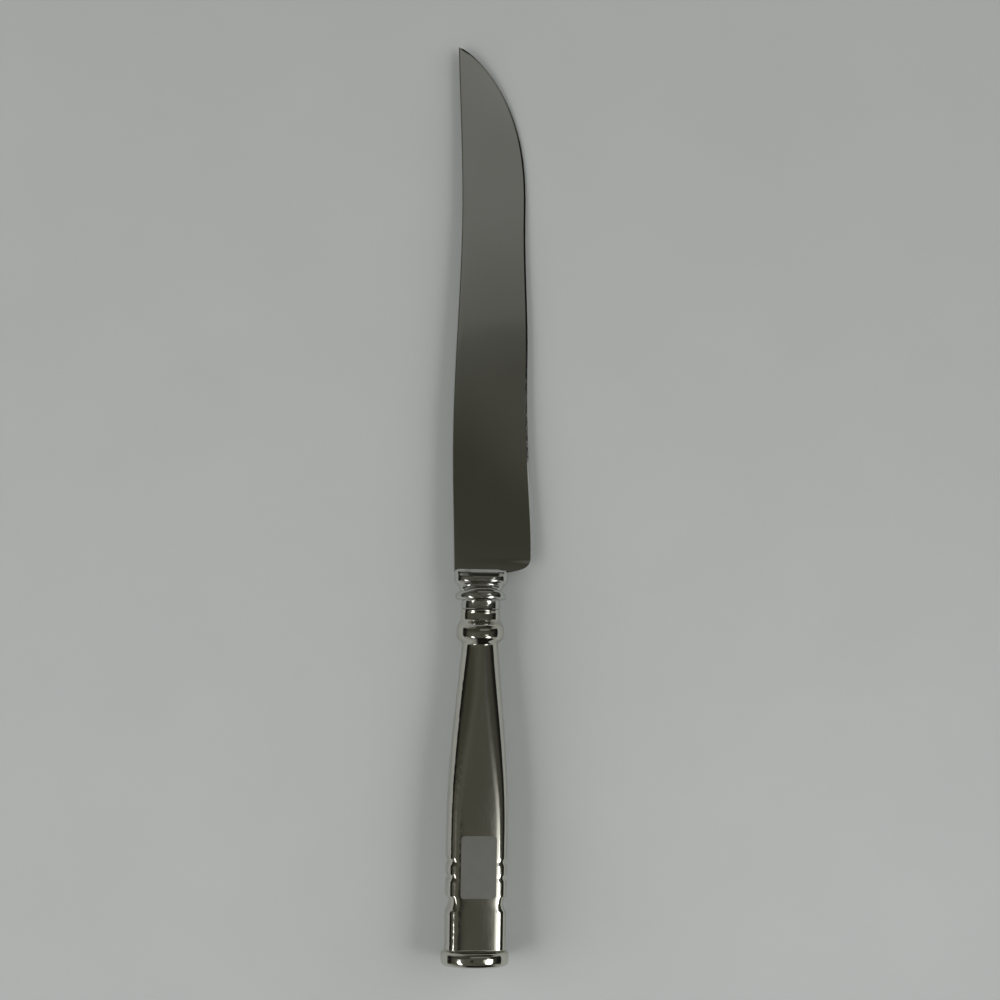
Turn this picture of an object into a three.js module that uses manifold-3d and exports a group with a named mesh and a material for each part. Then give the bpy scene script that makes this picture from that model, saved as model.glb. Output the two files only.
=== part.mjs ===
// A cake knife with a hollow handle, lying on its side: the tip towards +Y, the cutting edge
// towards +X, +Z up, in millimetres. A stainless blade stands in a slotted steel bolster, and its
// tang runs down into cement that fills the handle. The handle is two stamped silver half shells,
// soldered along their narrow sides and closed at the butt by a soldered cushion cap.

import * as THREE from "three";
import { mergeVertices } from "three/addons/utils/BufferGeometryUtils.js";
import Module from "manifold-3d";

const wasm = await Module();
wasm.setup();

const { clamp, lerp, mapLinear, smoothstep } = THREE.MathUtils;

// Fits between neighbours
const fitClearance = 0.3;         // round the tang, the blade's foot, the spigot and the cement
const seamThickness = 0.24;       // solder between the two half shells
const capSolderThickness = 0.24;  // solder between the shells and the butt cap

// Blade: offsets are measured from the handle's axis, heights from the bolster's top face
const bladeLength = 182.7;
const bladeThickness = 2.2;       // at the foot of the back
const tipThickness = 0.9;
const edgeThickness = 0.5;        // behind the ground bevel
const edgeLand = 0.08;            // left at the very edge
const bevelWidth = 0.7;
const backRounding = 0.35;
const backAtFoot = 9.65;
const backAtSwell = 10.95;
const swellHeight = 50;
const backAtHollow = 9.05;
const hollowHeight = 123;
const backAtTip = 11.3;
const heelWidth = 17.9;           // offset of the edge at the heel
const heelHeight = 0.6;           // of the heel's corner before it is rounded
const heelRounding = 4.8;
const heelReach = 16;             // how long the edge runs straight on from the heel
const heelOverhang = 0.5;         // of the blade's foot past the bolster's side
const waistWidth = 15.1;          // offset of the edge where its hollow stretch ends
const waistHeight = 73;
const waistReach = 36;
const bellyWidth = 13.5;          // offset of the edge where the belly starts to sweep up
const bellyLength = 59;           // from there to the tip
const bellyPower = 2.6;           // the sweep is (1 - u ^ power) ^ roundness
const bellyRoundness = 0.77;
const grindHeight = 70;           // above which the edge is down to its ground thickness
const plungeHeight = 1.3;         // of the step where the grind starts, above the bolster
const plungeLength = 2.2;
const plungeStep = 0.08;          // on each face, at the edge
const heelBreak = 0.08;           // broken edge round the heel, where the bevel has run out
const bevelShare = 0.5;           // most of the width that the bevel takes at the point
const roundingShare = 0.25;       // and the back's rounding

// Tang: a flat strip, notched to key into the cement
const tangLength = 62;            // below the bolster's top face
const tangWidth = 7.6;
const tangRelief = 0.4;           // how much thinner it is than the blade
const tangNotches = 3;
const tangNotchPitch = 11;
const tangNotchLength = 4;
const tangNotchDepth = 0.9;

// Bolster, from the blade down: chamfered collar, cove, ring, neck and a hidden spigot. Its
// mouldings bow towards the blade as they cross its faces.
const seatDepth = 1.4;            // of the blade's foot in its slot
const collarHalfWidth = 9.5;
const collarTopHalfThickness = 4.75;
const collarHalfThickness = 5.75;
const collarSwell = 3.6;          // depth at which it has its full thickness
const collarPanel = 3.5;          // half the flat across it at the top
const collarLength = 4.2;
const collarChamfer = 0.8;
const collarBow = 0.45;           // at the collar's lower edge
const coveHalfWidth = 7.55;
const coveHalfThickness = 5.05;
const coveLength = 3.7;
const ringGap = 0.7;
const ringHalfWidth = 8.95;
const ringHalfThickness = 7.1;
const ringRadius = 1.4;
const ringTurn = THREE.MathUtils.degToRad(55);  // where its round gives way to the fillet below it
const ringBow = 1.95;             // just above the ring
const filletLength = 0.2;         // on the neck
const neckHalfWidth = 6.8;
const neckHalfThickness = 5.7;
const neckSwell = 0.42;           // of its half thickness, under the ring
const neckSwellLength = 1.8;
const neckLength = 2.9;
const neckBowLength = 1;          // of the neck, over which the bow runs out
const mouldingPanel = 1;          // half the flat across the bolster's mouldings
const jointBreak = 0.25;          // broken edge either side of the joint with the handle
const spigotLength = 1.4;

// Handle shells, from the joint down: bead, ferrule, ball and panelled grip. Depths are measured
// from the joint.
const wall = 0.5;
const beadMiddle = 0.3;
const beadHalfThickness = 5.7;
const ferruleStart = 1.6;
const ferruleHalfThickness = 5.3;
const ballStart = 3.3;
const ballMiddle = 8.2;
const ballEnd = 12.6;
const ballHalfWidth = 8.3;
const ballHalfThickness = 8.2;
const ballPower = 3.4;            // the swell is (1 - u ^ power) ^ roundness
const ballRoundness = 2.6;
const throatHalfWidth = 6.25;
const flareLength = 63.4;         // from the throat to the full width
const flareSlope = 0.09;          // at the throat
const gripHalfWidth = 10.55;
const gripHalfThickness = 6.4;
const gripLength = 41.7;          // at the full width, down to the cap
const shoulderWidth = 4.8;        // rounded side of the grip, beside its flat panels
const leastPanel = 0.3;           // half the flat that is left on a round section
const nicks = 2;
const nickDepth = 0.6;
const nickLength = 2.6;
const nickRise = 24.7;            // of the lowest nick above the shells' lower end
const nickPitch = 5.5;
const notchDepth = 1.2;
const notchLength = 5.2;
const notchRise = 15.8;
const cementRecess = 1.5;         // of the cement's ends from the spigot and the cap

// Butt cap: a short neck and a cushion
const capNeckLength = 0.4;
const capNeckInset = 0.2;
const cushionHalfWidth = 11.95;
const cushionHalfThickness = 9.6;
const cushionRadius = 2.75;
const cushionShoulder = 10.5;
const cushionSquareness = 0.6;    // of its side, where 1 is a round bead
const cushionStart = THREE.MathUtils.degToRad(-72);
const capWall = 0.6;
const capDome = 0.4;

// Blank label on the upper panel
const labelHalfWidth = 6.2;
const labelHalfLength = 10.8;
const labelCorner = 1.2;
const labelThickness = 0.12;
const labelRise = 28.5;           // of its middle above the shells' lower end

// Fineness of the facets, and the squareness of the rounded sides: 2 is a true ellipse
const sideSteps = 5;
const curveSteps = 5;
const sweepSteps = 20;
const backSteps = 60;
const cushionSteps = 10;
const domeSteps = 3;
const mouldingPitch = 0.5;        // longest step along the mouldings
const sideExponent = 2.1;
const gripExponent = 3;

const tangThickness = bladeThickness - tangRelief;
const coveEnd = collarLength + coveLength;
const ringMiddle = coveEnd + ringGap + ringRadius;
const bolsterLength = ringMiddle + ringRadius + neckLength;
const shellLength = ballEnd + flareLength + gripLength;

const steel = { color: 0xb9bab6, roughness: 0.22, metalness: 1 };
const silver = { color: 0xcfccc2, roughness: 0.18, metalness: 1 };
const solder = { color: 0xb4b2aa, roughness: 0.4, metalness: 1 };
const filler = { color: 0x6e6257, roughness: 0.9, metalness: 0 };
const foil = { color: 0xa9aaa6, roughness: 0.45, metalness: 0.6 };

// A closed skin through rings with the same, even number of points. Point i of a ring lies across
// from its point n - 1 - i, and each end is closed by the ladder of these pairs.
function loft(rings) {
  const n = rings[0].length;
  const last = (rings.length - 1) * n;
  const index = [];
  for (let start = 0; start < last; start += n) {
    for (let i = 0; i < n; i++) {
      const here = start + i;
      const next = start + (i + 1) % n;
      index.push(here, next, next + n, here, next + n, here + n);
    }
  }
  for (let i = 0; i + 1 < n / 2; i++) {
    const j = n - 1 - i;
    index.push(i + 1, i, j, i + 1, j, j - 1);
    index.push(last + i, last + i + 1, last + j - 1, last + i, last + j - 1, last + j);
  }
  const points = rings.flat();
  let volume = 0;
  for (let t = 0; t < index.length; t += 3) {
    const [a, b, c] = [points[index[t]], points[index[t + 1]], points[index[t + 2]]];
    volume += a.dot(new THREE.Vector3().crossVectors(b, c));
  }
  const geometry = new THREE.BufferGeometry().setFromPoints(points);
  geometry.setIndex(volume < 0 ? index.reverse() : index);
  return geometry;
}

function toSolid(geometry) {
  const bare = geometry.clone();
  bare.deleteAttribute("normal");
  bare.deleteAttribute("uv");
  const merged = mergeVertices(bare);
  return new wasm.Manifold(new wasm.Mesh({
    numProp: 3,
    vertProperties: new Float32Array(merged.attributes.position.array),
    triVerts: new Uint32Array(merged.index.array),
  }));
}

function toGeometry(solid) {
  const { vertProperties, triVerts } = solid.getMesh();
  const geometry = new THREE.BufferGeometry();
  geometry.setAttribute("position", new THREE.BufferAttribute(vertProperties, 3));
  geometry.setIndex(new THREE.BufferAttribute(triVerts, 1));
  return geometry;
}

function boxSolid(halfWidth, bottom, top, halfThickness) {
  const geometry = new THREE.BoxGeometry(2 * halfWidth, top - bottom, 2 * halfThickness);
  return toSolid(geometry.translate(0, (top + bottom) / 2, 0));
}

function makePiece(name, geometry, finish) {
  const mesh = new THREE.Mesh(geometry, new THREE.MeshStandardMaterial(finish));
  geometry.computeVertexNormals();
  mesh.name = name;
  return mesh;
}

// The upper half of a section across the knife, from its +X side over the top to its -X side: a
// flat panel between two rounded sides that spring from the seam.
function upperArc({ y, width, thickness, panel, bow = 0, exponent = sideExponent }) {
  const seam = seamThickness / 2;
  const side = [];
  for (let i = 0; i <= sideSteps; i++) {
    const angle = (i / sideSteps) * Math.PI / 2;
    const out = i < sideSteps ? Math.cos(angle) ** (2 / exponent) : 0;
    const up = Math.sin(angle) ** (2 / exponent);
    const x = panel + (width - panel) * out;
    side.push(new THREE.Vector3(x, y + bow * up ** 2, lerp(seam, thickness, up)));
  }
  const otherSide = side.map((p) => new THREE.Vector3(-p.x, p.y, p.z));
  return [...side, ...otherSide.reverse()];
}

const turnedOver = (points) => points.map((p) => new THREE.Vector3(p.x, p.y, -p.z));

function wholeRing(section) {
  const upper = upperArc(section);
  return [...upper, ...turnedOver(upper).reverse()];
}

function inset(section, by) {
  const width = section.width - by;
  const panel = Math.max(Math.min(section.panel, width - leastPanel), leastPanel);
  const { y, thickness, exponent } = section;
  return { y, width, thickness: thickness - by, panel, exponent };
}

// An outline of offsets and heights with no step along it longer than the mouldings' pitch
function divided(outline) {
  const points = [outline[0]];
  for (let i = 1; i < outline.length; i++) {
    const from = outline[i - 1];
    const pieces = Math.max(Math.ceil((from.y - outline[i].y) / mouldingPitch), 1);
    for (let k = 1; k <= pieces; k++) {
      points.push(from.clone().lerp(outline[i], k / pieces));
    }
  }
  return points;
}

// Size at a depth, eased from each [depth, size] station to the next
function easedSize(stations, depth) {
  const last = stations.length - 1;
  const found = stations.findIndex((station) => station[0] >= depth);
  const next = found < 0 ? last : Math.max(found, 1);
  const [from, to] = [stations[next - 1], stations[next]];
  return lerp(from[1], to[1], smoothstep(depth, from[0], to[0]));
}

// Blade

function edgeOutline() {
  const foot = new THREE.Vector2(collarHalfWidth + heelOverhang, -seatDepth);
  const corner = new THREE.Vector2(heelWidth, heelHeight);
  const turn = foot.clone().sub(corner).setLength(heelRounding).add(corner);
  const heelTop = heelHeight + heelRounding;
  const bellyHeight = bladeLength - bellyLength;
  const bellyReach = (bellyHeight - waistHeight) / 3;
  const path = new THREE.Path();
  path.moveTo(foot.x, foot.y);
  path.lineTo(turn.x, turn.y);
  path.quadraticCurveTo(corner.x, corner.y, heelWidth, heelTop);
  path.bezierCurveTo(heelWidth, heelTop + heelReach, waistWidth, waistHeight - waistReach,
    waistWidth, waistHeight);
  path.bezierCurveTo(waistWidth, waistHeight + bellyReach, bellyWidth, bellyHeight - bellyReach,
    bellyWidth, bellyHeight);
  const points = path.getPoints(curveSteps);
  const point = backRounding - backAtTip;
  for (let i = 1; i <= sweepSteps; i++) {
    const u = Math.sin((i / sweepSteps) * Math.PI / 2);
    const v = (1 - u ** bellyPower) ** bellyRoundness;
    points.push(new THREE.Vector2(lerp(point, bellyWidth, v), lerp(bellyHeight, bladeLength, u)));
  }
  return points;
}

function backOutline() {
  const curve = new THREE.SplineCurve([
    new THREE.Vector2(-backAtFoot, -seatDepth),
    new THREE.Vector2(-backAtSwell, swellHeight),
    new THREE.Vector2(-backAtHollow, hollowHeight),
    new THREE.Vector2(-backAtTip, bladeLength),
  ]);
  return curve.getPoints(backSteps);
}

// Offset of a rising outline at a height
function offsetAt(outline, y) {
  const next = Math.max(outline.findIndex((p) => p.y >= y), 1);
  const [a, b] = [outline[next - 1], outline[next]];
  return lerp(a.x, b.x, (y - a.y) / (b.y - a.y));
}

function bladeRing(edge, back, y) {
  const width = edge - back;
  const bevelled = smoothstep(y, heelHeight, heelHeight + heelRounding);
  const bevel = Math.min(lerp(heelBreak, bevelWidth, bevelled), width * bevelShare);
  const rounding = Math.min(backRounding, width * roundingShare);
  const backHalf = lerp(bladeThickness, tipThickness, Math.max(y, 0) / bladeLength) / 2;
  const step = plungeStep * smoothstep(y, plungeHeight, plungeHeight + plungeLength);
  const ground = smoothstep(y, plungeHeight, grindHeight);
  const edgeHalf = lerp(backHalf - step, edgeThickness / 2, ground);
  const upper = [
    new THREE.Vector3(edge, y, lerp(edgeHalf - heelBreak, edgeLand / 2, bevelled)),
    new THREE.Vector3(edge - bevel, y, edgeHalf),
    new THREE.Vector3(back + rounding, y, backHalf),
    new THREE.Vector3(back, y, backHalf - rounding),
  ];
  return [...upper, ...turnedOver(upper).reverse()];
}

// The tang's notched outline, widened all round by a clearance
function tangSolid(grow) {
  const half = tangWidth / 2 + grow;
  const top = tangRelief - grow;
  const side = [new THREE.Vector2(half, top)];
  for (let k = tangNotches; k > 0; k--) {
    const y = tangNotchPitch * k - tangLength;
    side.push(new THREE.Vector2(half, y));
    side.push(new THREE.Vector2(half - tangNotchDepth, y - tangNotchLength / 2));
    side.push(new THREE.Vector2(half, y - tangNotchLength));
  }
  side.push(new THREE.Vector2(half, -tangLength - grow));
  const otherSide = side.map((p) => new THREE.Vector2(-p.x, p.y));
  const depth = tangThickness + 2 * grow;
  const shape = new THREE.Shape([...side, ...otherSide.reverse()]);
  const geometry = new THREE.ExtrudeGeometry(shape, { depth, bevelEnabled: false });
  return toSolid(geometry.translate(0, 0, -depth / 2));
}

function makeBlade() {
  const back = backOutline();
  const rings = edgeOutline().map((p) => bladeRing(p.x, offsetAt(back, p.y), p.y));
  const solid = toSolid(loft(rings)).add(tangSolid(0));
  return makePiece("blade", toGeometry(solid), steel);
}

// Bolster

function bolsterOutline() {
  const path = new THREE.Path();
  path.moveTo(collarHalfWidth - collarChamfer, 0);
  path.lineTo(collarHalfWidth, -collarChamfer);
  path.lineTo(collarHalfWidth, -collarLength);
  path.bezierCurveTo(collarHalfWidth, -collarLength - coveLength / 2,
    coveHalfWidth, -collarLength - coveLength / 2, coveHalfWidth, -coveEnd);
  path.absarc(ringHalfWidth - ringRadius, -ringMiddle, ringRadius, Math.PI / 2, -ringTurn, true);
  path.quadraticCurveTo(neckHalfWidth, -ringMiddle - ringRadius,
    neckHalfWidth, -ringMiddle - ringRadius - filletLength);
  path.lineTo(neckHalfWidth, jointBreak - bolsterLength);
  path.lineTo(neckHalfWidth - jointBreak, -bolsterLength);
  return path.getPoints(curveSteps);
}

// The bolster's half thickness swells and shrinks with its half width
function bolsterThickness(width, depth) {
  if (depth < collarChamfer) {
    return width - collarHalfWidth + collarTopHalfThickness;
  }
  if (depth < coveEnd) {
    const swell = smoothstep(depth, collarChamfer, collarSwell);
    const collar = lerp(collarTopHalfThickness, collarHalfThickness, swell);
    const cove = coveHalfThickness + collar - collarHalfThickness;
    return mapLinear(width, coveHalfWidth, collarHalfWidth, cove, collar);
  }
  if (depth < ringMiddle) {
    return mapLinear(width, coveHalfWidth, ringHalfWidth, coveHalfThickness, ringHalfThickness);
  }
  const swell = 1 - clamp((depth - ringMiddle - ringRadius) / neckSwellLength, 0, 1);
  return mapLinear(width, neckHalfWidth, ringHalfWidth, neckHalfThickness, ringHalfThickness)
    + neckSwell * swell ** 2;
}

const bolsterBow = [
  [collarChamfer, 0],
  [collarLength, collarBow],
  [coveEnd + ringGap, ringBow],
  [bolsterLength - neckLength + neckBowLength, 0],
];

const bolsterPanel = [
  [collarChamfer, collarPanel],
  [coveEnd, mouldingPanel],
];

function bolsterSection({ x: width, y }) {
  return {
    y,
    width,
    thickness: bolsterThickness(width, -y),
    panel: easedSize(bolsterPanel, -y),
    bow: easedSize(bolsterBow, -y),
  };
}

function makeBolster() {
  const sections = divided(bolsterOutline()).map(bolsterSection);
  const foot = sections[sections.length - 1];
  const spigot = inset({ ...foot, thickness: ferruleHalfThickness }, wall + fitClearance);
  const spigotEnd = -bolsterLength - spigotLength;
  const rings = [...sections, spigot, { ...spigot, y: spigotEnd }].map(wholeRing);
  const seat = boxSolid(collarHalfWidth + heelOverhang, -seatDepth, seatDepth,
    bladeThickness / 2 + fitClearance);
  const tangSlot = boxSolid(tangWidth / 2 + fitClearance, spigotEnd - seatDepth, seatDepth,
    tangThickness / 2 + fitClearance);
  const solid = toSolid(loft(rings)).subtract(seat).subtract(tangSlot);
  return makePiece("bolster", toGeometry(solid), steel);
}

// Handle: everything below is measured from its joint with the bolster

const ferruleTop = [
  [0, neckHalfThickness - jointBreak],
  [beadMiddle, beadHalfThickness],
  [ferruleStart, ferruleHalfThickness],
  [ballStart, ferruleHalfThickness],
];

// Half size across the ball at a depth, from its upper end over its middle to the throat
function ballSize(depth, upper, middle, throat) {
  const above = depth < ballMiddle;
  const u = (depth - ballMiddle) / (above ? ballStart - ballMiddle : ballEnd - ballMiddle);
  return lerp(above ? upper : throat, middle, (1 - u ** ballPower) ** ballRoundness);
}

function handleOutline() {
  const flareEnd = ballEnd + flareLength;
  const mouldings = divided([
    new THREE.Vector2(neckHalfWidth, -jointBreak),
    new THREE.Vector2(neckHalfWidth, -ballStart),
    new THREE.Vector2(ballHalfWidth, -ballMiddle),
    new THREE.Vector2(throatHalfWidth, -ballEnd),
  ]);
  const path = new THREE.Path();
  path.moveTo(neckHalfWidth - jointBreak, 0);
  for (const { y } of mouldings) {
    path.lineTo(-y < ballStart ? neckHalfWidth
      : ballSize(-y, neckHalfWidth, ballHalfWidth, throatHalfWidth), y);
  }
  path.bezierCurveTo(throatHalfWidth + flareSlope * flareLength / 3, -ballEnd - flareLength / 3,
    gripHalfWidth, flareLength / 3 - flareEnd, gripHalfWidth, -flareEnd);
  for (let k = nicks - 1; k >= 0; k--) {
    const y = nickRise + nickPitch * k - shellLength;
    path.lineTo(gripHalfWidth, y + nickLength / 2);
    path.lineTo(gripHalfWidth - nickDepth, y);
    path.lineTo(gripHalfWidth, y - nickLength / 2);
  }
  const notch = notchRise - shellLength;
  path.lineTo(gripHalfWidth, notch + notchLength / 2);
  path.quadraticCurveTo(gripHalfWidth - 2 * notchDepth, notch,
    gripHalfWidth, notch - notchLength / 2);
  path.lineTo(gripHalfWidth, -shellLength);
  return path.getPoints(curveSteps);
}

function handleThickness(depth) {
  if (depth < ballStart) {
    return easedSize(ferruleTop, depth);
  }
  if (depth < ballEnd) {
    return ballSize(depth, ferruleHalfThickness, ballHalfThickness, gripHalfThickness);
  }
  return gripHalfThickness;
}

function handleSection({ x: width, y }) {
  const toFlat = smoothstep(-y, ballEnd, ballEnd + flareLength);
  const panel = lerp(leastPanel, width - shoulderWidth, toFlat);
  const exponent = lerp(sideExponent, gripExponent, toFlat);
  return { y, width, thickness: handleThickness(-y), panel, exponent };
}

const handleSections = handleOutline().map(handleSection);

function makeShell(name, place) {
  const rings = handleSections.map((section) => {
    const outer = place(upperArc(section));
    const inner = place(upperArc(inset(section, wall)));
    return [...outer, ...inner.reverse()];
  });
  return makePiece(name, loft(rings), silver);
}

function makeSeam(name, side) {
  const half = seamThickness / 2;
  const rings = handleSections.map(({ y, width }) => [
    new THREE.Vector3(side * width, y, half),
    new THREE.Vector3(side * (width - wall), y, half),
    new THREE.Vector3(side * (width - wall), y, -half),
    new THREE.Vector3(side * width, y, -half),
  ]);
  return makePiece(name, loft(rings), solder);
}

function makeCement() {
  const top = -spigotLength - cementRecess;
  const bottom = cementRecess - shellLength;
  const rising = [...handleSections].reverse().map((s) => new THREE.Vector2(s.width, s.y));
  const atHeight = (y) => handleSection(new THREE.Vector2(offsetAt(rising, y), y));
  const between = handleSections.filter((s) => s.y < top && s.y > bottom);
  const sections = [atHeight(top), ...between, atHeight(bottom)];
  const body = toSolid(loft(sections.map((s) => wholeRing(inset(s, wall + fitClearance)))));
  const tangRoom = tangSolid(fitClearance).translate(0, bolsterLength, 0);
  return makePiece("handle_cement", toGeometry(body.subtract(tangRoom)), filler);
}

const gripEnd = handleSections[handleSections.length - 1];

function makeCapSolder() {
  const bottom = -shellLength - capSolderThickness;
  const ring = [gripEnd, { ...gripEnd, y: bottom }].map(wholeRing);
  const mouth = inset(gripEnd, wall);
  const hole = [{ ...mouth, y: mouth.y + wall }, { ...mouth, y: bottom - wall }].map(wholeRing);
  return makePiece("cap_solder", toGeometry(toSolid(loft(ring)).subtract(toSolid(loft(hole)))), solder);
}

// The cap's sections from its rim down, or those of its hollow when drawn in by its wall
function capSections(drawnIn) {
  const rim = -shellLength - capSolderThickness;
  const radius = cushionRadius - drawnIn;
  const squared = (turn) => Math.sign(turn) * Math.abs(turn) ** cushionSquareness;
  const middle = rim - capNeckLength + cushionRadius * squared(Math.sin(cushionStart));
  const neck = inset({ ...gripEnd, y: rim - capNeckLength / 2 }, capNeckInset + drawnIn);
  const sections = [inset({ ...gripEnd, y: rim }, drawnIn), neck];
  for (let i = 0; i <= cushionSteps; i++) {
    const angle = lerp(cushionStart, Math.PI / 2, i / cushionSteps);
    const bulge = radius * squared(Math.cos(angle)) - cushionRadius;
    const width = cushionHalfWidth + bulge;
    const thickness = cushionHalfThickness + bulge;
    const panel = Math.max(width - cushionShoulder, leastPanel);
    sections.push({ y: middle - radius * squared(Math.sin(angle)), width, thickness, panel });
  }
  return sections;
}

function makeCap() {
  const outer = capSections(0);
  const end = outer[outer.length - 1];
  for (let i = domeSteps - 1; i > 0; i--) {
    const share = i / domeSteps;
    outer.push({
      y: end.y - capDome * (1 - share ** 2),
      width: end.width * share,
      thickness: end.thickness * share,
      panel: end.panel * share,
    });
  }
  const hollow = capSections(capWall);
  hollow.unshift({ ...hollow[0], y: hollow[0].y + capWall });
  const solid = toSolid(loft(outer.map(wholeRing))).subtract(toSolid(loft(hollow.map(wholeRing))));
  return makePiece("butt_cap", toGeometry(solid), silver);
}

function makeLabel() {
  const [w, h, r] = [labelHalfWidth, labelHalfLength, labelCorner];
  const shape = new THREE.Shape();
  shape.moveTo(w, r - h);
  shape.lineTo(w, h - r);
  shape.absarc(w - r, h - r, r, 0, Math.PI / 2);
  shape.absarc(r - w, h - r, r, Math.PI / 2, Math.PI);
  shape.absarc(r - w, r - h, r, Math.PI, 1.5 * Math.PI);
  shape.absarc(w - r, r - h, r, 1.5 * Math.PI, 2 * Math.PI);
  const geometry = new THREE.ExtrudeGeometry(shape, {
    depth: labelThickness,
    bevelEnabled: false,
    curveSegments: curveSteps,
  });
  const label = makePiece("blank_label", geometry, foil);
  label.position.set(0, labelRise - shellLength, gripHalfThickness);
  return label;
}

const handle = new THREE.Group();
handle.position.y = -bolsterLength;
handle.add(
  makeShell("handle_front_shell", (points) => points),
  makeShell("handle_back_shell", turnedOver),
  makeSeam("seam_solder_edge_side", 1),
  makeSeam("seam_solder_back_side", -1),
  makeCement(),
  makeCapSolder(),
  makeCap(),
  makeLabel(),
);

const knife = new THREE.Group();
knife.add(makeBlade(), makeBolster(), handle);

// Stood on its lowest point, with the origin under the middle of its box
const extent = new THREE.Box3().setFromObject(knife);
const middle = extent.getCenter(new THREE.Vector3());
knife.position.set(-middle.x, -middle.y, -extent.min.z);

export default knife;
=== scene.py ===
import math

import bpy
from mathutils import Matrix, Vector


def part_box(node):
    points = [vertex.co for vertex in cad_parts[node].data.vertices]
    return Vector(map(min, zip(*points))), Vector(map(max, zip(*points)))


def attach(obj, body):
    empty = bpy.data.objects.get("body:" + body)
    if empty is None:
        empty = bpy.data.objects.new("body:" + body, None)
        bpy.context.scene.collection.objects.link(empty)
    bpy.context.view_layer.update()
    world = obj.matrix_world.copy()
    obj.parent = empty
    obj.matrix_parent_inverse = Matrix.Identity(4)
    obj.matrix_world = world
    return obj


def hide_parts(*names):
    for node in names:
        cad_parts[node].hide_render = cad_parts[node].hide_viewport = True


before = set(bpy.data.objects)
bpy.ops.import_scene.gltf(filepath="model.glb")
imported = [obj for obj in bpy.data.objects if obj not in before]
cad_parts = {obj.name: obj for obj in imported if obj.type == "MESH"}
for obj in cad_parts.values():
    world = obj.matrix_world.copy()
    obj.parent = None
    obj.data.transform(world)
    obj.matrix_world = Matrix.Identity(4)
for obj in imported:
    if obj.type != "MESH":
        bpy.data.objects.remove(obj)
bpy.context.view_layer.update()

# Blade: one piece of stainless steel, blanked, taper-ground from its back to its edge and polished, with a
# narrow bevel along the cutting edge. Its foot stands in the bolster and its notched tang in the cement.
mm = 0.001
cap_low, cap_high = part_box("butt_cap")
bolster_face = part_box("bolster")[1].y
# Every piece is drawn in millimetres about this point, on the handle's axis at the bolster's top face
origin = Vector(((cap_low.x + cap_high.x) / 2, bolster_face, (cap_low.z + cap_high.z) / 2))

blade_length = (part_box("blade")[1].y - bolster_face) / mm
blade_thickness, tip_thickness, edge_thickness, edge_land = 2.2, 0.9, 0.5, 0.08
bevel_width, heel_break, face_bulge, back_rounding = 0.7, 0.08, 0.03, 0.35
back_at_foot, back_at_swell, back_at_hollow, back_at_tip = 9.65, 10.95, 9.05, 11.3
swell_height, hollow_height = 50, 123
heel_width, heel_height, heel_rounding, heel_reach = 17.9, 0.6, 4.8, 16
foot_width, foot_depth = 10, 1.4
waist_width, waist_height, waist_reach = 15.1, 73, 36
belly_width, belly_length, belly_power, belly_roundness = 13.5, 59, 2.6, 0.77
grind_height, plunge_height, plunge_length, plunge_step = 70, 1.3, 2.2, 0.08
tang_length, tang_width, tang_thickness = 62, 7.6, 1.8
tang_notches, tang_notch_pitch, tang_notch_length, tang_notch_depth = 3, 11, 4, 0.9
foot_rows, heel_rows, waist_rows, hollow_rows, belly_rows = 10, 16, 60, 40, 90
face_columns, rounding_columns = 16, 8


def mix(a, b, t):
    return a + (b - a) * t


def ease(x, low, high):
    t = min(max((x - low) / (high - low), 0), 1)
    return t * t * (3 - 2 * t)


def steps(count, first=0):
    return [i / count for i in range(first, count + 1)]


def line(a, b, count):
    return [Vector(a).lerp(Vector(b), t) for t in steps(count, 1)]


def bezier(a, b, c, d, count):
    a, b, c, d = (Vector(p) for p in (a, b, c, d))
    return [a * (1 - t) ** 3 + b * 3 * t * (1 - t) ** 2 + c * 3 * t * t * (1 - t) + d * t ** 3
            for t in steps(count, 1)]


def rounded_corner(start, corner, end, count):
    """The parabola that leaves start and reaches end in the direction of the corner between them."""
    pull = 2 / 3
    return bezier(start, start.lerp(corner, pull), end.lerp(corner, pull), end, count)


def arc(middle, radius, start, end, count):
    angles = [mix(start, end, t) for t in steps(count, 1)]
    return [Vector((middle[0] + radius * math.cos(a), middle[1] + radius * math.sin(a))) for a in angles]


def loft(name, rings, crease=30, closed=False):
    """A skin through rings of as many points each, closed at its ends by the ladder of opposite points."""
    n = len(rings[0])
    points = [origin + Vector(p) * mm for ring in rings for p in ring]
    faces = []
    for k in range(len(rings) if closed else len(rings) - 1):
        here, there = k * n, (k + 1) % len(rings) * n
        for i in range(n):
            j = (i + 1) % n
            faces.append((here + i, here + j, there + j, there + i))
    if not closed:
        last = (len(rings) - 1) * n
        for i in range(n // 2 - 1):
            j = n - 1 - i
            faces.append((i + 1, i, j, j - 1))
            faces.append((last + i, last + i + 1, last + j - 1, last + j))
    mesh = bpy.data.meshes.new(name)
    mesh.from_pydata(points, [], faces)
    volume = sum(f.center.dot(f.normal) * f.area for f in mesh.polygons)
    if volume < 0:
        mesh.flip_normals()
    mesh.shade_smooth()
    mesh.set_sharp_from_angle(angle=math.radians(crease))
    piece = bpy.data.objects.new(name, mesh)
    bpy.context.scene.collection.objects.link(piece)
    return piece


def mirrored(points):
    """The same points on the lower side, in the order that closes a ring."""
    return [(x, y, -z) for x, y, z in reversed(points)]


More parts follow.
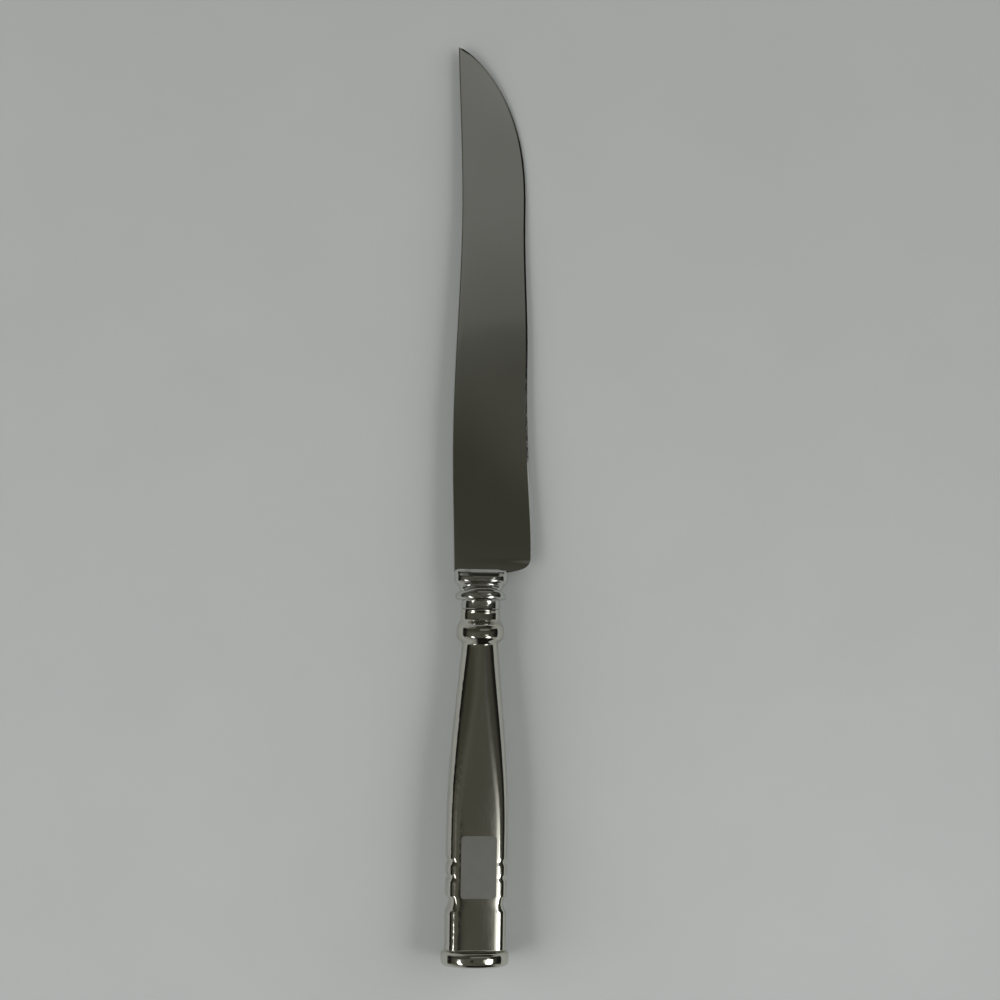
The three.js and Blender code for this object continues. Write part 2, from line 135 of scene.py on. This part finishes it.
def edge_outline():
    foot, corner = Vector((foot_width, -foot_depth)), Vector((heel_width, heel_height))
    turn = corner + (foot - corner).normalized() * heel_rounding
    heel_top = Vector((heel_width, heel_height + heel_rounding))
    belly_height = blade_length - belly_length
    reach = (belly_height - waist_height) / 3
    waist, belly = (waist_width, waist_height), (belly_width, belly_height)
    points = [foot, *line(foot, turn, foot_rows)]
    points += rounded_corner(turn, corner, heel_top, heel_rows)
    points += bezier(heel_top, (heel_width, heel_top.y + heel_reach),
                     (waist_width, waist_height - waist_reach), waist, waist_rows)
    points += bezier(waist, (waist_width, waist_height + reach),
                     (belly_width, belly_height - reach), belly, hollow_rows)
    for t in steps(belly_rows, 1):
        u = math.sin(t * math.pi / 2)
        v = max(1 - u ** belly_power, 0) ** belly_roundness
        points.append(Vector((mix(back_rounding - back_at_tip, belly_width, v),
                              mix(belly_height, blade_length, u))))
    return points


def back_at(y):
    """Offset of the back at a height, on a smooth curve through foot, swell, hollow and tip."""
    knots = [(-foot_depth, back_at_foot), (swell_height, back_at_swell),
             (hollow_height, back_at_hollow), (blade_length, back_at_tip)]
    last = len(knots) - 1
    k = next((i for i in range(last) if y <= knots[i + 1][0]), last - 1)
    (y1, x1), (y2, x2) = knots[k], knots[k + 1]
    y0, x0 = knots[max(k - 1, 0)]
    y3, x3 = knots[min(k + 2, last)]
    t = (y - y1) / (y2 - y1)
    slope1 = (x2 - x0) / (y2 - y0) * (y2 - y1)
    slope2 = (x3 - x1) / (y3 - y1) * (y2 - y1)
    return -(x1 * (2 * t ** 3 - 3 * t ** 2 + 1) + slope1 * (t ** 3 - 2 * t ** 2 + t)
             + x2 * (3 * t ** 2 - 2 * t ** 3) + slope2 * (t ** 3 - t ** 2))


def blade_ring(edge, y):
    back = back_at(y)
    width = edge - back
    bevelled = ease(y, heel_height, heel_height + heel_rounding)
    bevel = min(mix(heel_break, bevel_width, bevelled), width / 2)
    rounding = min(back_rounding, width / 4)
    back_half = mix(blade_thickness, tip_thickness, max(y, 0) / blade_length) / 2
    step = plunge_step * ease(y, plunge_height, plunge_height + plunge_length)
    ground = ease(y, plunge_height, grind_height)
    edge_half = mix(back_half - step, edge_thickness / 2, ground)
    bulge = 4 * face_bulge * ground + step * (1 - ground)
    upper = [(edge, y, mix(edge_half - heel_break, edge_land / 2, bevelled))]
    for t in steps(face_columns):
        height = mix(edge_half, back_half, t) + bulge * t * (1 - t)
        upper.append((mix(edge - bevel, back + rounding, t), y, height))
    for t in steps(rounding_columns, 1):
        a = t * math.pi / 2
        upper.append((back + rounding * (1 - math.sin(a)), y, back_half - rounding * (1 - math.cos(a))))
    return upper + mirrored(upper)


def tang_ring(half, y):
    columns = face_columns + rounding_columns + 1
    upper = [(mix(half, -half, t), y, tang_thickness / 2) for t in steps(columns)]
    return upper + mirrored(upper)


tang_outline = [(tang_width / 2, -tang_length)]
for k in range(1, tang_notches + 1):
    y = tang_notch_pitch * k - tang_length
    tang_outline += [(tang_width / 2, y - tang_notch_length),
                     (tang_width / 2 - tang_notch_depth, y - tang_notch_length / 2), (tang_width / 2, y)]
tang_outline.append((tang_width / 2, -foot_depth))
blade_rings = [tang_ring(*p) for p in tang_outline] + [blade_ring(*p) for p in edge_outline()]
blade = loft("ground_blade", blade_rings, crease=12)


class Wire:
    """A socket of a node tree. Arithmetic on it adds Math nodes, and node() adds any other."""

    def __init__(self, tree, socket=None):
        self.tree = tree
        self.socket = socket

    def node(self, kind, settings, sockets, out=0):
        made = self.tree.nodes.new(kind)
        for name, value in settings.items():
            setattr(made, name, value)
        for name, value in sockets.items():
            if isinstance(value, Wire):
                self.tree.links.new(value.socket, made.inputs[name])
            else:
                made.inputs[name].default_value = value
        return Wire(self.tree, made.outputs[out])

    def math(self, operation, *values):
        return self.node("ShaderNodeMath", {"operation": operation}, dict(enumerate(values)))

    def __add__(self, other):
        return self.math("ADD", self, other)

    def __sub__(self, other):
        return self.math("SUBTRACT", self, other)

    def __rsub__(self, other):
        return self.math("SUBTRACT", other, self)

    def __mul__(self, other):
        return self.math("MULTIPLY", self, other)

    def __abs__(self):
        return self.math("ABSOLUTE", self)

    __radd__ = __add__
    __rmul__ = __mul__

    def larger(self, other):
        return self.math("MAXIMUM", self, other)

    def axis(self, letter):
        """The X, Y or Z of a vector."""
        return self.node("ShaderNodeSeparateXYZ", {}, {0: self}, out=letter)

    def above(self, low, high):
        """0 below low, 1 above high and smooth between."""
        return self.node("ShaderNodeMapRange", {"interpolation_type": "SMOOTHSTEP"},
                         {"Value": self, "From Min": low, "From Max": high})

    def below(self, low, high):
        """1 below low, 0 above high and smooth between."""
        return 1 - self.above(low, high)

    def colour(self, a, b):
        """Colour a where this is 0, colour b where it is 1."""
        a, b = (v if isinstance(v, Wire) else (*v, 1) for v in (a, b))
        # The colour sockets of a Mix node share their names with others, so they go by number
        first, second, result = 6, 7, 2
        return self.node("ShaderNodeMix", {"data_type": "RGBA"}, {"Factor": self, first: a, second: b},
                         out=result)


class Finish:
    """A material with one principled shader, and the surface's place in millimetres."""

    def __init__(self, name):
        self.material = bpy.data.materials.new(name)
        self.material.use_nodes = True
        self.shader = self.material.node_tree.nodes["Principled BSDF"]
        self.wire = Wire(self.material.node_tree)
        in_metres = self.wire.node("ShaderNodeTexCoord", {}, {}, out="Object")
        self.place = self.wire.node("ShaderNodeVectorMath", {"operation": "SCALE"},
                                    {0: in_metres, "Scale": 1 / mm})

    def offset(self, letter):
        """Millimetres from the origin along X, Y or Z."""
        return self.place.axis(letter) - origin["XYZ".index(letter)] / mm

    def facing(self, letter):
        """How far the surface faces along X, Y or Z."""
        return self.wire.node("ShaderNodeTexCoord", {}, {}, out="Normal").axis(letter)

    def set(self, **sockets):
        for name, value in sockets.items():
            socket = self.shader.inputs[name.replace("_", " ").title()]
            if isinstance(value, Wire):
                self.material.node_tree.links.new(value.socket, socket)
            else:
                socket.default_value = value

    def noise(self, stretch, detail=2, turn=0):
        """Cloudy noise with a grain of these sizes in millimetres along X, Y and Z, turned about Z."""
        turned = self.wire.node("ShaderNodeMapping", {}, {"Vector": self.place, "Rotation": (0, 0, turn)})
        grain = self.wire.node("ShaderNodeVectorMath", {"operation": "DIVIDE"}, {0: turned, 1: stretch})
        return self.wire.node("ShaderNodeTexNoise", {}, {"Vector": grain, "Scale": 1, "Detail": detail})

    def scratches(self, length, width, turns, share):
        """Fine straight scratches that lie at several angles, 1 in a scratch and 0 beside it."""
        total, softness = None, 0.04
        for turn in turns:
            grain = self.noise((length, width, width), detail=1, turn=turn)
            lines = grain.above(1 - share, 1 - share + softness)
            total = lines if total is None else total.larger(lines)
        return total

    def bump(self, height, depth):
        """Relief of this height map, at this depth in millimetres."""
        self.set(normal=self.wire.node("ShaderNodeBump", {}, {"Height": height, "Distance": depth * mm}))

    def dress(self, piece):
        piece.data.materials.clear()
        piece.data.materials.append(self.material)


steel_shade, steel_light, honed_grey = (0.56, 0.56, 0.535), (0.62, 0.62, 0.60), (0.6, 0.6, 0.58)
hone_full_height, hone_end_height = 40, 90
blade_steel = Finish("ground_polished_steel")
grind = blade_steel.noise((9, 0.12, 9), detail=3)
smear = blade_steel.noise((14, 30, 14), detail=3)
hairlines = blade_steel.scratches(16, 0.09, (1.45, 1.7, 0.6), 0.32)
# The hone has left spots on the bevel, which leans towards the edge, and they thin out up the blade
hone_spots = blade_steel.noise((0.5, 0.6, 0.5), detail=3).above(0.5, 0.6)
on_bevel = blade_steel.facing("X").above(0.12, 0.18)
honed = on_bevel * hone_spots * blade_steel.offset("Y").below(hone_full_height, hone_end_height)
blade_steel.set(
    base_color=honed.colour(smear.colour(steel_shade, steel_light), honed_grey),
    metallic=1.0 - 0.3 * honed,
    roughness=0.03 + 0.02 * smear + 0.05 * hairlines + 0.02 * grind + 0.2 * honed,
)
blade_steel.bump(grind + hairlines * -0.6 + honed * 20, 0.0002)
blade_steel.dress(blade)
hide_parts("blade")
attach(blade, "root")

# Bolster: a cast steel collar that the blade is brazed into, turned and filed to a chamfered collar, a hollow
# cove, a half-round ring and a neck, and polished. A spigot below it stands in the handle's mouth.
collar_half_width, collar_half_thickness = 9.5, 5.75
collar_length, collar_top, collar_chamfer, collar_break, collar_bow = 4.2, 0.5, 1.4, 0.3, 0.45
collar_top_half_thickness, collar_swell, collar_panel, moulding_panel = 4.95, 3.6, 3.5, 1
cove_half_width, cove_half_thickness, cove_length = 7.55, 5.05, 3.7
ring_gap, ring_half_width, ring_half_thickness, ring_radius, ring_bow = 0.7, 8.95, 7.1, 1.4, 1.95
ring_turn, fillet_length = math.radians(55), 0.2
neck_half_width, neck_half_thickness, neck_length, neck_bow_length = 6.8, 5.7, 2.9, 1
neck_swell, neck_swell_length = 0.42, 1.8
joint_break, spigot_inset, spigot_length = 0.25, 0.8, 1.4
ferrule_half_thickness = 5.3
seam = 0.24
least_panel = 0.3
side_power, grip_power = 2.1, 3
side_columns, panel_columns = 22, 8
cove_rows, ring_rows, fillet_rows, moulding_pitch = 18, 24, 10, 0.1
cove_end = collar_length + cove_length
ring_middle = cove_end + ring_gap + ring_radius
bolster_length = ring_middle + ring_radius + neck_length


def upper_arc(y, width, thickness, panel, bow=0, power=side_power, crown=0):
    """A section's upper half: a panel, flat or a little crowned, between two rounded sides from the seam."""
    side = []
    for t in steps(side_columns):
        a = t * math.pi / 2
        out, up = max(math.cos(a), 0) ** (2 / power), math.sin(a) ** (2 / power)
        side.append((panel + (width - panel) * out, y + bow * up ** 2, mix(seam / 2, thickness, up)))
    flat = [(mix(panel, -panel, t), y + bow, thickness) for t in steps(panel_columns, 1)[:-1]]
    points = side + flat + [(-x, y, z) for x, y, z in reversed(side)]
    return [(x, y, z - crown * (x / width) ** 2 * z / thickness) for x, y, z in points]


def whole_ring(section):
    upper = upper_arc(*section)
    return upper + mirrored(upper)


def divided(outline):
    """The same outline with no step along it longer than the mouldings' pitch."""
    points = [Vector(outline[0])]
    for a, b in zip(outline, outline[1:]):
        points += line(a, b, max(math.ceil((a[1] - b[1]) / moulding_pitch), 1))
    return points


def eased(stations, depth):
    """Size at a depth, eased from each station to the next."""
    k = next((i for i in range(1, len(stations)) if depth <= stations[i][0]), len(stations) - 1)
    (from_depth, from_size), (to_depth, to_size) = stations[k - 1], stations[k]
    return mix(from_size, to_size, ease(depth, from_depth, to_depth))


def thickness_between(width, low, high):
    """Half thickness at a half width, from those of two mouldings."""
    (low_width, low_half), (high_width, high_half) = low, high
    return mix(low_half, high_half, (width - low_width) / (high_width - low_width))


collar, cove, ring, neck = (
    (collar_half_width, collar_half_thickness), (cove_half_width, cove_half_thickness),
    (ring_half_width, ring_half_thickness), (neck_half_width, neck_half_thickness))
bolster_bow = ((collar_chamfer, 0), (collar_length, collar_bow), (cove_end + ring_gap, ring_bow),
               (bolster_length - neck_length + neck_bow_length, 0))
bolster_panel = ((collar_chamfer, collar_panel), (cove_end, moulding_panel))


def bolster_thickness(width, depth):
    if depth < collar_chamfer:
        return collar_top_half_thickness + depth - collar_chamfer
    if depth < cove_end:
        hollow = 1 - ease(depth, collar_chamfer, collar_swell)
        return (thickness_between(width, cove, collar)
                - hollow * (collar_half_thickness - collar_top_half_thickness))
    if depth < ring_middle:
        return thickness_between(width, cove, ring)
    left = max(1 - (depth - ring_middle - ring_radius) / neck_swell_length, 0)
    return thickness_between(width, neck, ring) + neck_swell * min(left, 1) ** 2


def bolster_section(point):
    width, y = point
    return y, width, bolster_thickness(width, -y), eased(bolster_panel, -y), eased(bolster_bow, -y)


cove_middle = collar_length + cove_length / 2
ring_arc = arc((ring_half_width - ring_radius, -ring_middle), ring_radius, math.pi / 2, -ring_turn, ring_rows)
fillet = Vector((neck_half_width, -ring_middle - ring_radius))
fillet_end = fillet - Vector((0, fillet_length))
bolster_outline = [
    (collar_half_width - collar_break, -collar_top),
    (collar_half_width, -collar_top - collar_break),
    (collar_half_width, -collar_chamfer),
    (collar_half_width, -collar_length),
    *bezier((collar_half_width, -collar_length), (collar_half_width, -cove_middle),
            (cove_half_width, -cove_middle), (cove_half_width, -cove_end), cove_rows),
    *ring_arc,
    *rounded_corner(ring_arc[-1], fillet, fillet_end, fillet_rows),
    (neck_half_width, joint_break - bolster_length),
    (neck_half_width - joint_break, -bolster_length),
]
bolster_sections = [bolster_section(p) for p in divided(bolster_outline)]
_, width, _, panel, _ = bolster_sections[-1]
for y in (-bolster_length, -bolster_length - spigot_length):
    bolster_sections.append((y, width - spigot_inset, ferrule_half_thickness - spigot_inset, panel))
bolster = loft("ringed_bolster", [whole_ring(s) for s in bolster_sections])

bolster_shade, bolster_light = (0.56, 0.56, 0.53), (0.64, 0.64, 0.61)
bolster_steel = Finish("polished_bolster_steel")
cloud = bolster_steel.noise((3, 3, 3), detail=3)
polish = bolster_steel.scratches(5, 0.07, (0.2, 0.9, 1.5), 0.33)
bolster_steel.set(
    base_color=cloud.colour(bolster_shade, bolster_light),
    metallic=1.0,
    roughness=0.09 + 0.06 * cloud + 0.08 * polish,
)
bolster_steel.bump(cloud * 0.5 + polish * -0.5, 0.0015)
bolster_steel.dress(bolster)
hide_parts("bolster")
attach(bolster, "root")

# Cement: set pitch and plaster, poured warm into the hollow handle to hold the tang. It is sealed in, so the
# plain solid is kept, with the grit and pores of a cast filler.
cement_dark, cement_light = (0.16, 0.13, 0.10), (0.30, 0.25, 0.20)
cement = Finish("set_handle_cement")
grit = cement.noise((0.5, 0.5, 0.5), detail=4)
cement.set(base_color=grit.colour(cement_dark, cement_light), roughness=0.75 + 0.2 * grit)
cement.bump(grit, 0.1)
cement.dress(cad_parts["handle_cement"])

# Handle shells: two stamped sheets of silver, each half of the bead, ferrule, ball, throat and flat-panelled
# grip. The nicks and the notch are struck into their narrow sides, and the faces are buffed along the handle.
wall = 0.5
bead_middle, bead_half_thickness, ferrule_start = 0.3, 5.7, 1.6
ball_start, ball_middle, ball_end = 3.3, 8.2, 12.6
ball_half_width, ball_half_thickness, ball_power, ball_roundness = 8.3, 8.2, 3.4, 2.6
throat_half_width, flare_length, flare_slope = 6.25, 63.4, 0.09
grip_half_width, grip_half_thickness, grip_length, shoulder_width = 10.55, 6.4, 41.7, 4.8
panel_crown = 0.2
nicks, nick_depth, nick_length, nick_rise, nick_pitch = 2, 0.6, 2.6, 24.7, 5.5
notch_depth, notch_length, notch_rise = 1.2, 5.2, 15.8
flare_rows, grip_rows = 70, 200
flare_end = ball_end + flare_length
shell_length = flare_end + grip_length


def struck_depth(y):
    """How deep the nicks and the notch are cut into the side at this height."""
    depth = 0
    for k in range(nicks):
        away = abs(y + shell_length - nick_rise - nick_pitch * k)
        depth = max(depth, nick_depth * (1 - away / (nick_length / 2)))
    away = (y + shell_length - notch_rise) / (notch_length / 2)
    return max(depth, notch_depth * (1 - away * away))


def ball_size(depth, upper, middle, throat):
    """Half size across the ball at a depth, from its upper end over its middle to the throat."""
    above = depth < ball_middle
    u = (depth - ball_middle) / (ball_start - ball_middle if above else ball_end - ball_middle)
    swell = max(1 - u ** ball_power, 0) ** ball_roundness
    return mix(upper if above else throat, middle, swell)


ferrule_stations = (
    (0, neck_half_thickness - joint_break),
    (bead_middle, bead_half_thickness),
    (ferrule_start, ferrule_half_thickness),
    (ball_start, ferrule_half_thickness),
)


def moulded_width(depth):
    """Half width of the handle's mouldings, from the joint to the throat."""
    if depth < ball_start:
        return neck_half_width
    return ball_size(depth, neck_half_width, ball_half_width, throat_half_width)


def handle_thickness(depth):
    if depth < ball_start:
        return eased(ferrule_stations, depth)
    if depth < ball_end:
        return ball_size(depth, ferrule_half_thickness, ball_half_thickness, grip_half_thickness)
    return grip_half_thickness


def handle_section(point):
    width, y = point
    to_flat = ease(-y, ball_end, flare_end)
    panel = mix(least_panel, width - shoulder_width, to_flat)
    power = mix(side_power, grip_power, to_flat)
    return (y - bolster_length, width - struck_depth(y), handle_thickness(-y), panel, 0, power,
            panel_crown * to_flat)


def drawn_in(section, by):
    y, width, thickness, panel, *rest = section
    return y, width - by, thickness - by, max(min(panel, width - by - least_panel), least_panel), *rest


moulding_axis = divided([(0, -joint_break), (0, -ball_start), (0, -ball_end)])
handle_outline = [
    (neck_half_width - joint_break, 0),
    *[(moulded_width(-y), y) for _, y in moulding_axis],
    *bezier((throat_half_width, -ball_end),
            (throat_half_width + flare_slope * flare_length / 3, -ball_end - flare_length / 3),
            (grip_half_width, flare_length / 3 - flare_end), (grip_half_width, -flare_end), flare_rows),
    *line((grip_half_width, -flare_end), (grip_half_width, -shell_length), grip_rows),
]
handle_sections = [handle_section(p) for p in handle_outline]
front_rings = [upper_arc(*s) + upper_arc(*drawn_in(s, wall))[::-1] for s in handle_sections]
back_rings = [[(x, y, -z) for x, y, z in ring] for ring in front_rings]
front_shell = loft("stamped_front_shell", front_rings)
back_shell = loft("stamped_back_shell", back_rings)

silver_shade, silver_light = (0.58, 0.57, 0.505), (0.67, 0.66, 0.60)
silver = Finish("buffed_silver")
buffed = silver.noise((0.7, 26, 0.7), detail=3)
tone = silver.noise((7, 18, 7), detail=3)
rub = silver.scratches(0.06, 7, (0.05, -0.3, 0.35), 0.33)
# The shoulder on the side of the blade's back is a little dented from use
back_shoulder = silver.offset("X").below(-6.6, -5.8)
dents = (silver.noise((1.6, 3.2, 1.6), detail=2) - 0.5) * back_shoulder
silver.set(
    base_color=tone.colour(silver_shade, silver_light),
    metallic=1.0,
    roughness=0.05 + 0.04 * tone + 0.06 * rub + 0.03 * buffed,
)
silver.bump(buffed + rub * -0.4 + dents * 60, 0.0012)
for shell, node in ((front_shell, "handle_front_shell"), (back_shell, "handle_back_shell")):
    silver.dress(shell)
    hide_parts(node)
    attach(shell, "root")

# Seam solder: hard solder run between the two shells along both narrow sides and filed flush, so that only a
# hair-thin duller line shows from the ferrule to the cap.
solder_shade, solder_light = (0.44, 0.42, 0.36), (0.60, 0.58, 0.52)
solder = Finish("filed_hard_solder")
filed = solder.noise((0.3, 1.2, 0.3), detail=3)
solder.set(base_color=filed.colour(solder_shade, solder_light), metallic=1.0, roughness=0.25 + 0.2 * filed)
solder.bump(filed, 0.01)
for name, side in (("edge_side", 1), ("back_side", -1)):
    seam_rings = []
    for y, width, *_ in handle_sections:
        corners = ((width, seam / 2), (width - wall, seam / 2), (width - wall, -seam / 2), (width, -seam / 2))
        seam_rings.append([(side * x, y, z) for x, z in corners])
    strip = loft("soldered_seam_" + name, seam_rings)
    solder.dress(strip)
    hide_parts("seam_solder_" + name)
    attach(strip, "root")

# Cap solder: the same hard solder between the shells' lower rim and the butt cap, a thin hoop with the
# section of the handle's end.
cap_solder_thickness = 0.24
grip_end = handle_sections[-1]
grip_end_inside = drawn_in(grip_end, wall)
top = grip_end[0]
rim = top - cap_solder_thickness
hoop_sections = ((grip_end, top), (grip_end, rim), (grip_end_inside, rim), (grip_end_inside, top))
cap_hoop = loft("soldered_cap_hoop", [whole_ring((y, *s[1:])) for s, y in hoop_sections], closed=True)
solder.dress(cap_hoop)
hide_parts("cap_solder")
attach(cap_hoop, "root")

# Butt cap: a stamped silver cap, a short neck and then a cushion that stands out past the grip all round,
# closed by a slightly domed end and soldered on.
cap_neck_length, cap_neck_inset, cap_wall, cap_dome = 0.4, 0.2, 0.6, 0.36
cushion_half_width, cushion_half_thickness, cushion_radius, cushion_shoulder = 11.93, 9.58, 2.75, 10.5
cushion_squareness = 0.6
cushion_start = math.radians(-72)
cushion_rows, dome_rows = 40, 8


def squared(turn):
    return math.copysign(abs(turn) ** cushion_squareness, turn)


def cap_sections(by):
    """The cap's sections from its rim to its end, drawn in by a thickness."""
    radius = cushion_radius - by
    middle = rim - cap_neck_length + cushion_radius * squared(math.sin(cushion_start))
    neck = drawn_in(grip_end, cap_neck_inset + by)
    sections = [(rim, *drawn_in(grip_end, by)[1:]), (rim - cap_neck_length / 2, *neck[1:])]
    for t in steps(cushion_rows):
        angle = mix(cushion_start, math.pi / 2, t)
        bulge = radius * squared(max(math.cos(angle), 0)) - cushion_radius
        width = cushion_half_width + bulge
        sections.append((middle - radius * squared(math.sin(angle)), width, cushion_half_thickness + bulge,
                         max(width - cushion_shoulder, least_panel)))
    return sections


outside = cap_sections(0)
end_y, *end_sizes = outside[-1]
for i in range(dome_rows - 1, 0, -1):
    share = i / dome_rows
    outside.append((end_y - cap_dome * (1 - share ** 2), *(size * share for size in end_sizes)))
butt_cap = loft("cushion_butt_cap", [whole_ring(s) for s in cap_sections(cap_wall)[::-1] + outside])
silver.dress(butt_cap)
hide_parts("butt_cap")
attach(butt_cap, "root")

# Label: a small die-cut rectangle of silvered paper with rounded corners, stuck on the upper panel. It is
# blank, with a satin face and a faintly rolled edge.
label_half_width, label_half_length, label_corner = 6.2, 10.8, 1.2
label_thickness, label_edge, label_rise = 0.12, 0.05, 28.5
corner_steps = 12


def label_ring(shrink, lift):
    w, h, r = label_half_width - shrink, label_half_length - shrink, label_corner - shrink
    y = grip_end[0] + label_rise
    turns = [t * math.pi / 2 for t in steps(corner_steps)]
    right = [(w - r + r * math.cos(a), h - r + r * math.sin(a)) for a in turns]
    upper = [(w, 0), *right, *[(-a, b) for a, b in reversed(right)], (-w, 0)]
    outline = upper + [(a, -b) for a, b in reversed(upper[1:-1])]
    return [(a, y + b, grip_half_thickness + lift) for a, b in outline]


label = loft("blank_foil_label", [
    label_ring(0, 0), label_ring(0, label_thickness - label_edge), label_ring(label_edge, label_thickness)])
foil_shade, foil_light = (0.14, 0.14, 0.128), (0.182, 0.182, 0.166)
foil = Finish("satin_label_foil")
fibre = foil.noise((0.35, 0.35, 0.35), detail=4)
crease = foil.noise((5, 5, 5), detail=2)
foil.set(
    base_color=(0.35 * fibre + 0.65 * crease).colour(foil_shade, foil_light),
    metallic=0.45,
    roughness=0.42 + 0.12 * fibre,
)
foil.bump(fibre + crease, 0.012)
foil.dress(label)
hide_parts("blank_label")
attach(label, "root")

# Table: a plain pale matt top. The knife lies on it with its tip and its ball down and its edge rolled a
# little towards the table, so the table is set at that slant in the knife's own frame.
lie_yaw, lie_pitch, lie_roll = (math.radians(a) for a in (-1.0, -1.95, 9.0))
lie = (Matrix.Rotation(lie_yaw, 3, "Z") @ Matrix.Rotation(lie_pitch, 3, "X")
       @ Matrix.Rotation(lie_roll, 3, "Y"))
pieces = (blade, bolster, front_shell, back_shell, butt_cap)
lowest = min((lie @ v.co).z for piece in pieces for v in piece.data.vertices)
table = lie.transposed().to_4x4() @ Matrix.Translation((0, 0, lowest))

table_half = 3.0
table_corners = [(x * table_half, y * table_half, 0) for x, y in ((-1, -1), (1, -1), (1, 1), (-1, 1))]
table_mesh = bpy.data.meshes.new("table_top")
table_mesh.from_pydata(table_corners, [], [(0, 1, 2, 3)])
table_top = bpy.data.objects.new("table_top", table_mesh)
table_top.matrix_world = table
bpy.context.scene.collection.objects.link(table_top)
paint_shade, paint_light = (0.44, 0.455, 0.45), (0.47, 0.485, 0.48)
table_paint = Finish("pale_table_paint")
mottle = table_paint.noise((40, 40, 40), detail=4)
table_paint.set(base_color=mottle.colour(paint_shade, paint_light), roughness=0.8)
table_top.data.materials.append(table_paint.material)

# Light: two large soft boxes, left and right, and a weak lamp overhead light the table. Two small lamps low
# over the handle give the highlights, and the metal mirrors a dim room that is paler over the blade.
lamps = (
    # Name, place over the table, width, height and power, and whether the metal mirrors it
    ("overhead_lamp", (0, 0.3, 1.5), 1.2, 1.2, 2, False),
    ("left_softbox", (-1.1, -0.2, 0.75), 1.2, 1.2, 12.8, False),
    ("right_softbox", (1.1, 0.25, 0.75), 1.2, 1.2, 10.5, False),
    ("left_lamp", (-0.205, -0.27, 0.34), 0.17, 0.08, 0.16, True),
    ("right_lamp", (0.2, -0.22, 0.27), 0.12, 0.12, 0.18, True),
)
for name, place, width, height, power, in_mirror in lamps:
    data = bpy.data.lights.new(name, "AREA")
    data.shape = "RECTANGLE"
    data.size = width
    data.size_y = height
    data.energy = power
    lamp = bpy.data.objects.new(name, data)
    aim = Vector((0, place[1] / 2, 0))
    turn = (Vector(place) - aim).to_track_quat("Z", "Y").to_matrix().to_4x4()
    lamp.matrix_world = table @ Matrix.Translation(place) @ turn
    lamp.visible_glossy = in_mirror
    bpy.context.scene.collection.objects.link(lamp)

world = bpy.data.worlds.new("dim_room")
bpy.context.scene.world = world
world.use_nodes = True
room = Wire(world.node_tree)
look = room.node("ShaderNodeTexCoord", {}, {}, out="Generated")
# How far a direction of the room leads across the table, along the knife and up
across, along, up = (room.node("ShaderNodeVectorMath", {"operation": "DOT_PRODUCT"},
                               {0: look, 1: table.to_3x3().col[i]}, out="Value") for i in range(3))

wall_dark, ceiling_left, ceiling_right = (0.012, 0.012, 0.010), (0.102, 0.102, 0.083), (0.064, 0.064, 0.054)
ceiling_far, ceiling_pale, far_wall = (0.056, 0.056, 0.042), (0.235, 0.235, 0.222), (0.27, 0.27, 0.26)
ceiling_near = across.above(0.1, 0.5).colour(ceiling_left, ceiling_right)
ceiling = along.above(0, 0.07).colour(ceiling_near, ceiling_far)
on_ceiling = up.above(0.25, 0.65) * along.above(-0.72, -0.52)
shade = on_ceiling.colour(wall_dark, ceiling)


def band(value, low, low_full, high_full, high):
    """1 between the full marks and 0 outside low and high."""
    return value.above(low, low_full) * value.below(high_full, high)


# The ceiling turns pale over the blade in a soft dusk, one clear step and a slow dawn
dusk = along.above(0.085, 0.133) * 0.27
step = along.above(0.1325, 0.1375) * 0.28
dawn = along.above(0.137, 0.19) * 0.3 + along.above(0.21, 0.26) * 0.15
over_blade = band(across, 0.06, 0.16, 0.56, 0.66) * along.below(0.41, 0.47)
shade = (over_blade * (dusk + step + dawn)).colour(shade, ceiling_pale)
shade = along.above(0.94, 0.98).colour(shade, far_wall)

# Patches of the room, each a band across, a band along and a colour
room_patches = (
    # A bright window that the right shoulder of the grip mirrors
    ((0.335, 0.42, 0.52, 0.58), (-0.2, -0.17, -0.11, -0.03), (1.5, 1.5, 1.45)),
    # A dark gap beside it, along the panel's right edge
    ((0.07, 0.12, 0.235, 0.255), (-0.19, -0.16, -0.088, -0.068), (0.025, 0.025, 0.021)),
    # A soft light that the left shoulder mirrors
    ((-0.65, -0.5, -0.4, -0.25), (-0.2, -0.15, -0.06, 0.02), (0.17, 0.17, 0.16)),
    # A dark corner low on the right, in the blade's bevel
    ((0.7, 0.78, 0.85, 0.9), (0.02, 0.06, 0.29, 0.33), (0.01, 0.01, 0.009)),
)
for across_band, along_band, colour in room_patches:
    shade = (band(across, *across_band) * band(along, *along_band)).colour(shade, colour)

# Paler corners of the room, so that the blade isn't black from a low side
room_corners = (across.below(-0.3, -0.05) + across.above(0.6, 0.75)) * abs(along).above(0.3, 0.5)
corner_levels = ((0.7, 0.85, (0.13, 0.13, 0.122)), (0.3, 0.55, (0.34, 0.34, 0.325)))
for full_height, end_height, colour in corner_levels:
    shade = (room_corners * up.below(full_height, end_height)).colour(shade, colour)
world.node_tree.links.new(shade.socket, world.node_tree.nodes["Background"].inputs["Color"])

# Camera: high over the table, looking straight down on it.
camera_height = 0.8465
camera_shift = (0.0047, 0.0020)
lens = bpy.data.cameras.new("overhead_camera")
lens.sensor_width = 36
lens.lens = 86.4
camera = bpy.data.objects.new("overhead_camera", lens)
camera.matrix_world = table @ Matrix.Translation((*camera_shift, camera_height))
bpy.context.scene.collection.objects.link(camera)
bpy.context.scene.camera = camera
bpy.context.scene.view_settings.view_transform = "Standard"
